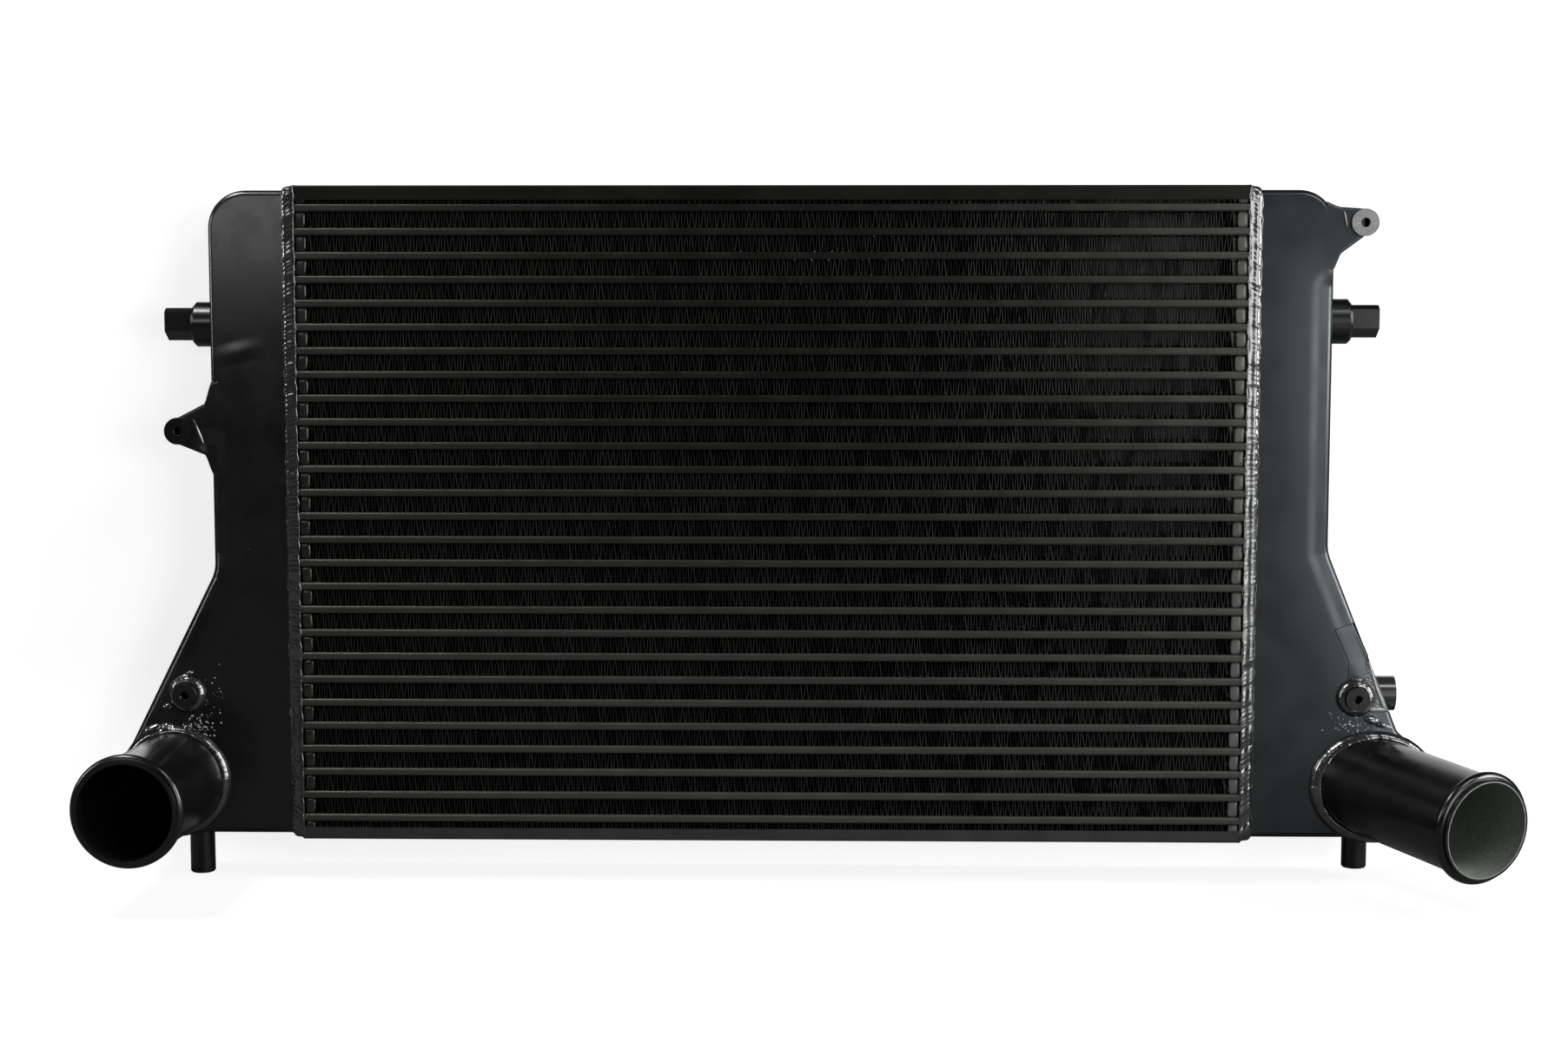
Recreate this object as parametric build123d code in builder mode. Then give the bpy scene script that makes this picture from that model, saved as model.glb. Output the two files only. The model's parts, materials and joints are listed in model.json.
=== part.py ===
"""Bar-and-plate air-to-air intercooler with fabricated side tanks and two hose pipes.

+X runs along the core from the left tank to the right tank, +Y from the pipe side to the back
and +Z up. The pieces are drawn about the centre of the core. `datum` then moves every piece so
that the origin lies midway between the two lower locating pins, at the tanks' undersides.
"""

import os
from math import cos, radians, sin

from build123d import *

# ---- core ----
core_length = 600.0
core_depth = 50.0
fin_rows = 28
fin_height = 10.0
tube_height = 5.0
tube_corner = 1.5  # rounded nose corners of the charge-air tubes
tube_nose = 4.0  # solid bar that closes a tube at the front and back
tube_sheet = 0.6
header_bar_length = 8.0  # closing bar at each end of a fin row
side_plate_gauge = 1.5
top_flange = 9.0
bottom_flange = 7.5
flange_bend = 1.2  # outer radius of the flanges' bends
fin_gauge = 0.4
fin_waves = 9
fin_setback = 0.5  # fins stand this far behind the closing bars
fin_end_gap = 0.5
turbulator_gauge = 0.3
turbulator_waves = 3
turbulator_gap = 0.5

# ---- tanks: widths from the core's end, heights above the tank's underside ----
tank_wall = 3.0
tank_inset = 3.0  # step from the core's faces in to the tank's, all round
tank_edge = 3.5  # rounding of the tank's outer edges
tank_width_left = 55.3  # to the straight side
tank_width_right = 53.7
shoulder_radius_left = 24.0
shoulder_radius_right = 22.0
flare_start_left = 170.0
flare_start_right = 184.0
flare_end_left = 59.0
flare_end_right = 69.0
flare_width_left = 111.0
flare_width_right = 100.0
lobe_start = 48.0
lobe_step_left = 7.5  # the lobe's side beyond the end of the flare
lobe_step_right = 23.2
lobe_radius = 33.0
bend_radius = 25.0
foot_bend_radius = 6.0

# ---- hose pipes ----
pipe_od = 63.5
pipe_wall = 2.0
pipe_reach_left = 108.0  # along the pipe, from the tank's face to the mouth
pipe_reach_right = 106.0
bead_rise = 3.4
bead_length = 7.0
bead_setback = 2.5
pipe_inset_left = 35.0  # from the lobe's side in to the pipe's centre, at the tank's face
pipe_inset_right = 38.0
pipe_height_left = 34.0  # above the tank's underside
pipe_height_right = 33.5
splay_left = 2.0  # degrees away from the core
splay_right = 28.0
droop_left = -1.0
droop_right = 4.2

# ---- welds ----
core_weld_length = 8.0
pipe_weld_leg = 3.0
boss_weld_leg = 4.5
weld_land = 0.3

# ---- locating pins and pegs ----
pin_inset_left = 11.5  # from the pipe's centre in to the pin's axis
pin_inset_right = 7.2
pin_diameter = 16.0
pin_length_left = 30.0
pin_length_right = 23.5
pin_chamfer = 0.8
peg_height_left = 121.3  # above the core's centre
peg_height_right = 123.5
collar_diameter = 28.8
collar_length = 14.3
collar_chamfer = 2.0
peg_side = 12.2  # side of the hexagonal bar
peg_lift = 1.8  # the hexagon's centre above the collar's axis
peg_length = 17.0

# ---- threaded bosses ----
thread_radius = 3.0
thread_depth = 8.0
ear_boss_diameter = 17.2
ear_boss_length = 19.0
ear_thickness = 16.0
ear_setback = 1.0  # ear plate behind the tank's front face
ear_reach_left = 21.2  # from the tank's straight side out to the boss's axis
ear_reach_right = 18.6
ear_drop_left = 152.0  # below the tank's top
ear_drop_right = 20.3
ear_rise_left = 17.5  # the upper edge's end near the tank, above the boss's axis
ear_rise_right = 9.6
ear_fall_left = 15.5  # the lower edge's end near the tank, below the boss's axis
ear_fall_right = 19.5
ear_neck = 4.0  # from the tank's straight side out to where the edges end
ear_spread = 11.0  # of the curved root along the tank's side, beyond those ends
ear_shoulder_spread = 1.0  # the same where the right plate meets the tank's shoulder
ear_curl = 0.7  # how far the root's curve bows in from straight
lower_boss_diameter = 15.0
lower_boss_length = 9.0
lower_boss_inset_left = 20.64  # from the tank's sloping side in to the boss's axis
lower_boss_inset_right = 18.34
lower_boss_height = 91.0  # above the tank's underside
sensor_boss_diameter = 22.4
sensor_bore_diameter = 11.0
sensor_boss_stand = 9.66  # beyond the tank's sloping side, along the boss's axis
sensor_height = 90.5

# ---- folded corner beside the right lower boss ----
pocket_land = 1.2  # from the lower boss to the fold
pocket_top = 120.0  # above the tank's underside
pocket_bottom = 81.5
pocket_depth = 6.0
pocket_overrun = 9.0  # of the cut beyond the tank's side
patch_gauge = 2.0

# ---- derived ----
tube_count = fin_rows - 1
row_pitch = fin_height + tube_height
stack_height = fin_rows * fin_height + tube_count * tube_height
core_height = stack_height + 2 * side_plate_gauge
core_end = core_length / 2
core_face = core_depth / 2
bar_face = core_face - side_plate_gauge
fin_face = bar_face - fin_setback
tank_face = core_face - tank_inset
tank_top = core_height / 2 - tank_inset
ear_front = tank_face - ear_setback
ear_boss_front = ear_front - ear_thickness + ear_boss_length
pipe_radius = pipe_od / 2
lobe_width_left = flare_width_left + lobe_step_left
lobe_width_right = flare_width_right + lobe_step_right
pipe_x_left = core_end + lobe_width_left - pipe_inset_left
pipe_x_right = core_end + lobe_width_right - pipe_inset_right
pin_x_left = pipe_x_left - pin_inset_left
pin_x_right = pipe_x_right - pin_inset_right
datum = Location(((pin_x_left - pin_x_right) / 2, 0, tank_top))

LEFT = -1
RIGHT = 1

os.makedirs("parts", exist_ok=True)


def save(piece, label):
    """Move a finished piece to the datum, label it and write it."""
    placed = piece.moved(datum)
    placed.label = label
    export_step(placed, f"parts/{label}.step")


def row_centres(count):
    """Heights of evenly pitched rows about the core's centre, from the top down."""
    return [((count - 1) / 2 - row) * row_pitch for row in range(count)]


# ---------------------------------------------------------------- core


def charge_tube(z):
    """Flat charge-air passage: two sheets closed at the front and back by solid noses."""
    with BuildPart() as tube:
        with BuildSketch(Plane.YZ.offset(-core_end)):
            with Locations((0, z)):
                RectangleRounded(core_depth, tube_height, tube_corner)
                Rectangle(core_depth - 2 * tube_nose, tube_height - 2 * tube_sheet, mode=Mode.SUBTRACT)
        extrude(amount=core_length)
    return tube.part


def wave_points(length, rise, waves, gauge):
    """Closed outline of a folded sheet with flat crests, as (along, up) points.

    Each wave is a trough, a leg up, a crest and a leg down, all a quarter of the wave long.
    The sheet is gauge thick, measured upright, and fills the rise exactly.
    """
    quarter = length / waves / 4
    centre = (rise - gauge) / 2
    heights = [-centre, -centre, centre, centre] * waves + [-centre]
    along = [-length / 2 + step * quarter for step in range(len(heights))]
    upper = [(x, z + gauge / 2) for x, z in zip(along, heights)]
    lower = [(x, z - gauge / 2) for x, z in zip(along, heights)]
    return upper + lower[::-1]


def cooling_fins():
    """One folded fin strip in every gap between the tubes, crests against the sheets."""
    length = core_length - 2 * header_bar_length - 2 * fin_end_gap
    outline = wave_points(length, fin_height, fin_waves, fin_gauge)
    with BuildPart() as fins:
        with BuildSketch(Plane.XZ):
            with Locations(*[(0, z) for z in row_centres(fin_rows)]):
                Polygon(*outline, align=None)
        extrude(amount=fin_face, both=True)
    return fins.part


def turbulators():
    """Folded sheet inside each tube, its folds running with the charge air."""
    width = core_depth - 2 * tube_nose - 2 * turbulator_gap
    outline = wave_points(width, tube_height - 2 * tube_sheet, turbulator_waves, turbulator_gauge)
    with BuildPart() as sheets:
        with BuildSketch(Plane.YZ):
            with Locations(*[(0, z) for z in row_centres(tube_count)]):
                Polygon(*outline, align=None)
        extrude(amount=core_end, both=True)
    return sheets.part


def header_bars(side):
    """Solid bars that close the fin rows at one end of the core."""
    x = side * (core_end - header_bar_length / 2)
    with BuildPart() as bars:
        with Locations(*[(x, 0, z) for z in row_centres(fin_rows)]):
            Box(header_bar_length, 2 * bar_face, fin_height)
    return bars.part


def side_plate(direction, flange):
    """Channel over the outermost fin row, its flanges turned in towards the core."""
    edge = direction * core_height / 2
    with BuildPart() as plate:
        with BuildSketch(Plane.YZ.offset(-core_end)):
            with Locations((0, edge - direction * flange / 2)):
                Rectangle(core_depth, flange)
            with Locations((0, edge - direction * (flange + side_plate_gauge) / 2)):
                Rectangle(2 * bar_face, flange - side_plate_gauge, mode=Mode.SUBTRACT)
        extrude(amount=core_length)
        bends = plate.edges().filter_by(Axis.X).group_by(Axis.Z)[-1 if direction > 0 else 0]
        fillet(bends, flange_bend)
    return plate.part


# ---------------------------------------------------------------- tanks

shoulder_radius = {LEFT: shoulder_radius_left, RIGHT: shoulder_radius_right}
tank_width = {LEFT: tank_width_left, RIGHT: tank_width_right}
flare_start = {LEFT: flare_start_left, RIGHT: flare_start_right}
flare_end = {LEFT: flare_end_left, RIGHT: flare_end_right}
flare_width = {LEFT: flare_width_left, RIGHT: flare_width_right}
lobe_width = {LEFT: lobe_width_left, RIGHT: lobe_width_right}


def tank_outline(side, start):
    """Front outline of a tank as a wire: straight side, flared foot and a round lobe.

    start is how far from the core's centre the open end of the outline stands.
    """
    corners = [
        (start, tank_top),
        (core_end + tank_width[side], tank_top),
        (core_end + tank_width[side], flare_start[side] - tank_top),
        (core_end + flare_width[side], flare_end[side] - tank_top),
        (core_end + lobe_width[side], lobe_start - tank_top),
        (core_end + lobe_width[side], -tank_top),
        (start, -tank_top),
    ]
    radii = [shoulder_radius[side], bend_radius, foot_bend_radius, foot_bend_radius, lobe_radius]
    placed = [(side * x, z) for x, z in corners]
    FilletPolyline(*placed, radius=radii)
    Line(placed[-1], placed[0])


def tank_body(side):
    """Outer form of a tank, solid, with its outer edges rounded."""
    with BuildPart() as body:
        with BuildSketch(Plane.XZ):
            with BuildLine():
                tank_outline(side, core_end)
            make_face()
        extrude(amount=tank_face, both=True)
        rims = body.faces().filter_by(Plane.XZ).edges()
        open_end = side * core_end
        rounded = rims.filter_by(lambda edge: abs(edge.center().X - open_end) > tank_wall)
        fillet(rounded, tank_edge)
    return body.part


def tank_cavity(side):
    """Chamber inside a tank: the outline moved in by the wall, open towards the core.

    On the right it keeps a wall's thickness clear of the folded corner.
    """
    with BuildPart() as cavity:
        with BuildSketch(Plane.XZ):
            with BuildLine():
                tank_outline(side, core_end - tank_wall)
            make_face()
            offset(amount=-tank_wall, kind=Kind.INTERSECTION)
        extrude(amount=tank_face - tank_wall, both=True)
        if side > 0:
            add(pocket_prism(tank_wall, pocket_depth + tank_wall), mode=Mode.SUBTRACT)
    return cavity.part


pipe_reach = {LEFT: pipe_reach_left, RIGHT: pipe_reach_right}


def pipe_root(side):
    """Where a pipe's axis crosses the tank's front face."""
    x = pipe_x_right if side > 0 else pipe_x_left
    height = pipe_height_right if side > 0 else pipe_height_left
    return Vector(side * x, -tank_face, height - tank_top)


def pipe_direction(side):
    """Unit vector along a pipe, out of the tank: splayed away from the core and drooping."""
    splay = radians(splay_right if side > 0 else splay_left)
    droop = radians(droop_right if side > 0 else droop_left)
    return Vector(side * sin(splay) * cos(droop), -cos(splay) * cos(droop), -sin(droop))


def pipe_rod(side, radius):
    """Round rod along a pipe's axis, from inside the tank out to the pipe's mouth."""
    heading = pipe_direction(side)
    inside = pipe_radius
    start = pipe_root(side) - heading * inside
    with BuildPart() as rod:
        with BuildSketch(Plane(origin=start, z_dir=heading)):
            Circle(radius)
        extrude(amount=inside + pipe_reach[side])
        split(bisect_by=Plane.XZ.offset(tank_face - tank_wall), keep=Keep.TOP)
    return rod.part


def sloping_side(side, height):
    """How far from the core's centre a tank's flared side stands, at a height above its underside."""
    slope = (flare_width[side] - tank_width[side]) / (flare_start[side] - flare_end[side])
    return core_end + tank_width[side] + (flare_start[side] - height) * slope


def lower_boss_x(side):
    """Where a lower boss's axis stands, from the core's centre."""
    inset = lower_boss_inset_right if side > 0 else lower_boss_inset_left
    return side * (sloping_side(side, lower_boss_height) - inset)


def fold_x():
    """Where the folded corner begins, beside the right lower boss."""
    return lower_boss_x(RIGHT) + lower_boss_diameter / 2 + pocket_land


def sensor_boss_length():
    """From the tank's straight side out to the sensor boss's end."""
    return sloping_side(RIGHT, sensor_height) + sensor_boss_stand - core_end - tank_width_right


def pocket_prism(margin, depth):
    """Triangular prism of the folded corner, let in from the right tank's front face."""
    left = fold_x()
    right = sloping_side(RIGHT, pocket_bottom) + pocket_overrun
    top = pocket_top - tank_top
    bottom = pocket_bottom - tank_top
    with BuildPart() as prism:
        with BuildSketch(Plane.XZ.offset(tank_face)):
            with BuildLine():
                Polyline((left, top), (left, bottom), (right, bottom), close=True)
            make_face()
            if margin > 0:
                offset(amount=margin, kind=Kind.INTERSECTION)
        extrude(amount=-depth)
    return prism.part


def tank(side):
    """Hollow tank with its pipe hole, and on the right the folded corner and sensor hole."""
    with BuildPart() as shell:
        add(tank_body(side))
        add(tank_cavity(side), mode=Mode.SUBTRACT)
        add(pipe_rod(side, pipe_radius), mode=Mode.SUBTRACT)
        if side > 0:
            add(pocket_prism(0, pocket_depth), mode=Mode.SUBTRACT)
            with BuildSketch(Plane.YZ.offset(core_end + tank_width_right)):
                with Locations((0, sensor_height - tank_top)):
                    Circle(sensor_bore_diameter / 2)
            extrude(amount=sensor_boss_length(), mode=Mode.SUBTRACT)
    return shell.part


def corner_patch():
    """Triangular plate on the floor of the right tank's folded corner."""
    floor = tank_face - pocket_depth
    with BuildPart() as patch:
        add(pocket_prism(0, pocket_depth))
        split(bisect_by=Plane.XZ.offset(floor + patch_gauge), keep=Keep.BOTTOM)
        add(tank_body(RIGHT), mode=Mode.INTERSECT)
    return patch.part


# ---------------------------------------------------------------- pipes


def pipe(side):
    """Hose pipe through the tank's front wall, with a rolled bead near its mouth."""
    heading = pipe_direction(side)
    root = pipe_root(side)
    across = heading.cross(Vector(0, 0, 1)).normalized()
    mouth = pipe_reach[side]
    bead_end = mouth - bead_setback
    inner = pipe_radius - pipe_wall
    foot = -pipe_radius
    with BuildPart() as tube:
        with BuildSketch(Plane(origin=root, x_dir=across, z_dir=across.cross(heading))):
            with BuildLine():
                Polyline((pipe_radius, bead_end), (pipe_radius, mouth), (inner, mouth))
                Polyline((inner, mouth), (inner, foot), (pipe_radius, foot))
                Line((pipe_radius, foot), (pipe_radius, bead_end - bead_length))
                ThreePointArc(
                    (pipe_radius, bead_end - bead_length),
                    (pipe_radius + bead_rise, bead_end - bead_length / 2),
                    (pipe_radius, bead_end),
                )
            make_face()
        revolve(axis=Axis(root, heading))
        split(bisect_by=Plane.XZ.offset(tank_face - tank_wall), keep=Keep.TOP)
    return tube.part


def pipe_weld(side):
    """Fillet weld around a pipe's foot, an oval cone on the tank's front face."""
    root = pipe_root(side)
    heading = pipe_direction(side)
    stretch = 1 / abs(heading.Y)
    lean = heading * (pipe_weld_leg * stretch)
    foot = pipe_radius + pipe_weld_leg
    head = pipe_radius + weld_land
    with BuildPart() as weld:
        with BuildSketch(Plane.XZ.offset(tank_face)):
            with Locations((root.X, root.Z)):
                Ellipse(foot * stretch, foot)
        with BuildSketch(Plane.XZ.offset(tank_face + pipe_weld_leg)):
            with Locations((root.X + lean.X, root.Z + lean.Z)):
                Ellipse(head * stretch, head)
        loft()
        add(pipe_rod(side, pipe_radius), mode=Mode.SUBTRACT)
    return weld.part


def core_weld(side):
    """Fillet weld from the core's end face in to the tank, all the way round."""
    start = Plane(origin=(side * core_end, 0, 0), x_dir=(0, 1, 0), z_dir=(side, 0, 0))
    with BuildPart() as weld:
        with BuildSketch(start):
            Rectangle(core_depth, core_height)
        with BuildSketch(start.offset(core_weld_length)):
            Rectangle(2 * (tank_face + weld_land), 2 * (tank_top + weld_land))
        loft()
        add(tank_body(side), mode=Mode.SUBTRACT)
        add(tank_cavity(side), mode=Mode.SUBTRACT)
    return weld.part


# ---------------------------------------------------------------- mounts


def side_peg(side):
    """Round collar with a hexagonal bar, whose upper edge is milled flat, on a tank's side."""
    height = peg_height_right if side > 0 else peg_height_left
    root = (side * (core_end + tank_width[side]), 0, height)
    seat = Plane(origin=root, x_dir=(0, 1, 0), z_dir=(side, 0, 0))
    with BuildPart() as peg:
        with BuildSketch(seat):
            Circle(collar_diameter / 2)
        extrude(amount=collar_length)
        chamfer(peg.edges().sort_by(Axis.X)[-1 if side > 0 else 0], collar_chamfer)
        with BuildSketch(seat.offset(collar_length)):
            up = side * peg_lift
            with Locations((0, up)):
                RegularPolygon(peg_side, 6, rotation=30)
            Rectangle(2 * peg_side, 2 * (peg_side - peg_lift), mode=Mode.INTERSECT)
        extrude(amount=peg_length)
    return peg.part


def lower_pin(side, length):
    """Round locating pin under a tank."""
    x = pin_x_right if side > 0 else -pin_x_left
    with BuildPart() as pin:
        with BuildSketch(Plane.XY.offset(-tank_top)):
            with Locations((x, 0)):
                Circle(pin_diameter / 2)
        extrude(amount=-length)
        chamfer(pin.edges().sort_by(Axis.Z)[0], pin_chamfer)
    return pin.part


def boss(x, z, front, diameter, length):
    """Round boss with its axis along Y and a blind threaded hole in its front end."""
    with BuildPart() as stud:
        with BuildSketch(Plane.XZ.offset(front)):
            with Locations((x, z)):
                Circle(diameter / 2)
        extrude(amount=-length)
        with BuildSketch(Plane.XZ.offset(front)):
            with Locations((x, z)):
                Circle(thread_radius)
        extrude(amount=-thread_depth, mode=Mode.SUBTRACT)
    return stud.part


def ear_centre(side):
    """Centre of the upper boss that stands out beside a tank."""
    straight_side = core_end + tank_width[side]
    if side > 0:
        return straight_side + ear_reach_right, tank_top - ear_drop_right
    return -straight_side - ear_reach_left, tank_top - ear_drop_left


def ear_boss(side):
    """Threaded boss at the tip of an ear plate."""
    x, z = ear_centre(side)
    return boss(x, z, ear_boss_front, ear_boss_diameter, ear_boss_length)


def ear_plate(side):
    """Tapered plate that carries the ear boss, its edges curving into the tank's side."""
    x, z = ear_centre(side)
    radius = ear_boss_diameter / 2
    inside = side * (core_end + tank_width[side] - tank_wall)
    neck = side * (core_end + tank_width[side] + ear_neck)
    rise = ear_rise_right if side > 0 else ear_rise_left
    fall = ear_fall_right if side > 0 else ear_fall_left
    spread = ear_shoulder_spread if side > 0 else ear_spread
    upper, lower = (neck, z + rise), (neck, z - fall)
    upper_root, lower_root = (inside, z + rise + spread), (inside, z - fall - ear_spread)
    with BuildPart() as plate:
        with BuildSketch(Plane.XZ.offset(ear_front)):
            with BuildLine():
                SagittaArc(upper_root, upper, -side * ear_curl)
                Polyline(upper, (x, z + radius), (x, z - radius), lower)
                SagittaArc(lower, lower_root, -side * ear_curl)
                Line(lower_root, upper_root)
            make_face()
            with Locations((x, z)):
                Circle(radius, mode=Mode.SUBTRACT)
        extrude(amount=-ear_thickness)
        add(tank_body(side), mode=Mode.SUBTRACT)
        add(tank_cavity(side), mode=Mode.SUBTRACT)
    return plate.part


def lower_boss(side):
    """Threaded boss that stands on the front of a tank's flared foot."""
    x, z = lower_boss_x(side), lower_boss_height - tank_top
    return boss(x, z, tank_face + lower_boss_length, lower_boss_diameter, lower_boss_length)


def boss_weld(side):
    """Conical fillet weld around a lower boss, on the right stopped at the folded corner."""
    centre = (lower_boss_x(side), lower_boss_height - tank_top)
    radius = lower_boss_diameter / 2
    with BuildPart() as weld:
        with BuildSketch(Plane.XZ.offset(tank_face)):
            with Locations(centre):
                Circle(radius + boss_weld_leg)
        with BuildSketch(Plane.XZ.offset(tank_face + boss_weld_leg)):
            with Locations(centre):
                Circle(radius + weld_land)
        loft()
        with BuildSketch(Plane.XZ.offset(tank_face)):
            with Locations(centre):
                Circle(radius)
        extrude(amount=boss_weld_leg, mode=Mode.SUBTRACT)
        if side > 0:
            split(bisect_by=Plane.YZ.offset(fold_x()), keep=Keep.BOTTOM)
    return weld.part


def sensor_boss():
    """Round boss for a sensor, out of the right tank's flared side, bored into the tank."""
    with BuildPart() as stud:
        with BuildSketch(Plane.YZ.offset(core_end + tank_width_right)):
            with Locations((0, sensor_height - tank_top)):
                Circle(sensor_boss_diameter / 2)
                Circle(sensor_bore_diameter / 2, mode=Mode.SUBTRACT)
        extrude(amount=sensor_boss_length())
        add(tank_body(RIGHT), mode=Mode.SUBTRACT)
    return stud.part


# ---------------------------------------------------------------- pieces

for number, height in enumerate(row_centres(tube_count), start=1):
    save(charge_tube(height), f"charge_tube_{number:02d}")
save(cooling_fins(), "cooling_fins")
save(turbulators(), "turbulators")
save(side_plate(1, top_flange), "top_side_plate")
save(side_plate(-1, bottom_flange), "bottom_side_plate")
save(lower_pin(LEFT, pin_length_left), "lower_pin_left")
save(lower_pin(RIGHT, pin_length_right), "lower_pin_right")
save(sensor_boss(), "sensor_boss")
save(corner_patch(), "corner_patch")
for side, name in ((LEFT, "left"), (RIGHT, "right")):
    save(header_bars(side), f"header_bars_{name}")
    save(tank(side), f"tank_{name}")
    save(core_weld(side), f"core_weld_{name}")
    save(pipe(side), f"pipe_{name}")
    save(pipe_weld(side), f"pipe_weld_{name}")
    save(side_peg(side), f"side_peg_{name}")
    save(ear_boss(side), f"ear_boss_{name}")
    save(ear_plate(side), f"ear_plate_{name}")
    save(lower_boss(side), f"lower_boss_{name}")
    save(boss_weld(side), f"boss_weld_{name}")
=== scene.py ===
"""Dressed look of a black bar-and-plate intercooler, laid over its CAD frame.

The CAD gives the tanks, pipes, tubes, pegs, pins and bosses. This script adds the fine fin
strips, the closing bars' ends, the rippled weld beads, weld spatter and threads, and gives
every piece its finish. Some finishes carry painted light and shade: the core's colour is
scaled by where the lamps fall, the fins' front edges carry a painted highlight, pale pieces
stand for glints, and a near-black strip at the right tank's corner is a painted shadow.
Everything is in metres in the frame's own axes.
"""

import json

import bpy
import numpy as np
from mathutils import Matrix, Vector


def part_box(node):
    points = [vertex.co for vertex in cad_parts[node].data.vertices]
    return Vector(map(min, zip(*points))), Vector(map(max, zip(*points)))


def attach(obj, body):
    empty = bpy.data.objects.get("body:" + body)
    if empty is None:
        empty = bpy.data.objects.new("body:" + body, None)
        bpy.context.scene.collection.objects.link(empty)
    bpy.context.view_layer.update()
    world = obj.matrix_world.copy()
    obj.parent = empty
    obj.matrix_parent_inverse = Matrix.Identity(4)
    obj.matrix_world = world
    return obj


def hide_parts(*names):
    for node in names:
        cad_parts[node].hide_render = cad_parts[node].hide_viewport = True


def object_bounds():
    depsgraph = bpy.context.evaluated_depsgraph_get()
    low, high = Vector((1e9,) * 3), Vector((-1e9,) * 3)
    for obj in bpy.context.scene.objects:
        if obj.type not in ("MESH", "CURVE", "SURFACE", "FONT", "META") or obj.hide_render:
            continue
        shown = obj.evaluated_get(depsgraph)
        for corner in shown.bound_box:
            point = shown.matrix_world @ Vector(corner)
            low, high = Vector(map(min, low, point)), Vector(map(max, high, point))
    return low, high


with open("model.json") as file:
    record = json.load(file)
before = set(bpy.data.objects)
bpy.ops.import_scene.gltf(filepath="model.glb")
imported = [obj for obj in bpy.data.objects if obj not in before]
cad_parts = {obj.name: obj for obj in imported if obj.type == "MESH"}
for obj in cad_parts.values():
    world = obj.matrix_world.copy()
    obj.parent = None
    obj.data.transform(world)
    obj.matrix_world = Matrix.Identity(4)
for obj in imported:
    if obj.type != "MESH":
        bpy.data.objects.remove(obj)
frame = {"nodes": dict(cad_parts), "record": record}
cad_low, cad_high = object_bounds()
scene = bpy.context.scene
nodes = frame["nodes"]

MM = 0.001
SIDES = {"left": -1, "right": 1}


# ---- sizes read from the frame


def corners(node):
    """Lowest and highest corner of a CAD node, as arrays."""
    low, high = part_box(node)
    return np.array(low), np.array(high)


tubes = [name for name in nodes if name.startswith("charge_tube")]
tube_low, tube_high = corners("charge_tube_01")
tank_low, tank_high = corners("tank_left")

row_pitch = tube_low[2] - corners("charge_tube_02")[0][2]
fin_height = row_pitch - (tube_high[2] - tube_low[2])
fin_rows = len(tubes) + 1
core_half = (tube_high[0] - tube_low[0]) / 2
core_middle = (tube_high[0] + tube_low[0]) / 2
core_top, core_bottom = corners("top_side_plate")[1][2], corners("bottom_side_plate")[0][2]
tank_face = tank_low[1]
tank_top, tank_foot = tank_high[2], tank_low[2]
tank_sides = {"left": corners("side_peg_left")[1][0], "right": corners("side_peg_right")[0][0]}

mounts = {mount["name"]: mount for mount in frame["record"]["mounts"]}


def whole_turn(count):
    """Even angles once around, from 0."""
    return np.linspace(0, 2 * np.pi, count, endpoint=False)


def mount_line(name):
    """Place and unit axis of a mount."""
    return np.array(mounts[name]["pos_m"]), np.array(mounts[name]["axis"])


# ---- camera and light

IMAGE_WIDTH = 1805
FOCAL_PIXELS = 3000
SENSOR = 36.0
VIEW_TARGET = (0.00597, -0.025, 0.20358)
VIEW_DISTANCE = 1.6519
VIEW_AZIMUTH = np.radians(1.2)
VIEW_ELEVATION = np.radians(5.7)
NEAR_CLIP = 0.05


def add_camera():
    """Camera on the line of sight given by its azimuth and elevation, looking at the target."""
    flat = np.cos(VIEW_ELEVATION)
    towards = [-np.sin(VIEW_AZIMUTH) * flat, np.cos(VIEW_AZIMUTH) * flat, -np.sin(VIEW_ELEVATION)]
    camera = bpy.data.objects.new("camera", bpy.data.cameras.new("camera"))
    camera.data.sensor_width = SENSOR
    camera.data.lens = FOCAL_PIXELS * SENSOR / IMAGE_WIDTH
    camera.data.clip_start = NEAR_CLIP
    camera.location = np.array(VIEW_TARGET) - VIEW_DISTANCE * np.array(towards)
    camera.rotation_euler = (np.pi / 2 - VIEW_ELEVATION, 0, VIEW_AZIMUTH)
    scene.collection.objects.link(camera)
    scene.camera = camera


def add_softbox(name, place, target, width, height, watts, diffuse=1.0):
    """Rectangular soft light at a place, facing a target, unseen by the camera.

    With no diffuse share it is there for gleams alone.
    """
    light = bpy.data.lights.new(name, "AREA")
    light.shape = "RECTANGLE"
    light.size = width
    light.size_y = height
    light.energy = watts
    light.diffuse_factor = diffuse
    lamp = bpy.data.objects.new(name, light)
    lamp.location = place
    heading = np.array(target) - np.array(place)
    flat = np.hypot(heading[0], heading[1])
    lamp.rotation_euler = (np.arctan2(flat, -heading[2]), 0, np.arctan2(heading[1], heading[0]) - np.pi / 2)
    lamp.visible_camera = False
    scene.collection.objects.link(lamp)


def node(tree, kind, inputs=None, **settings):
    """New shader node with its settings and its inputs, each a value or a socket to link."""
    made = tree.nodes.new("ShaderNode" + kind)
    for key, value in settings.items():
        setattr(made, key, value)
    for key, value in (inputs or {}).items():
        if isinstance(value, bpy.types.NodeSocket):
            tree.links.new(value, made.inputs[key])
        else:
            made.inputs[key].default_value = value
    return made


def maths(tree, operation, first, second=0.0, third=0.0, clamp=False):
    """Result socket of one Math node."""
    inputs = {0: first, 1: second, 2: third}
    return node(tree, "Math", inputs, operation=operation, use_clamp=clamp).outputs[0]


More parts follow.
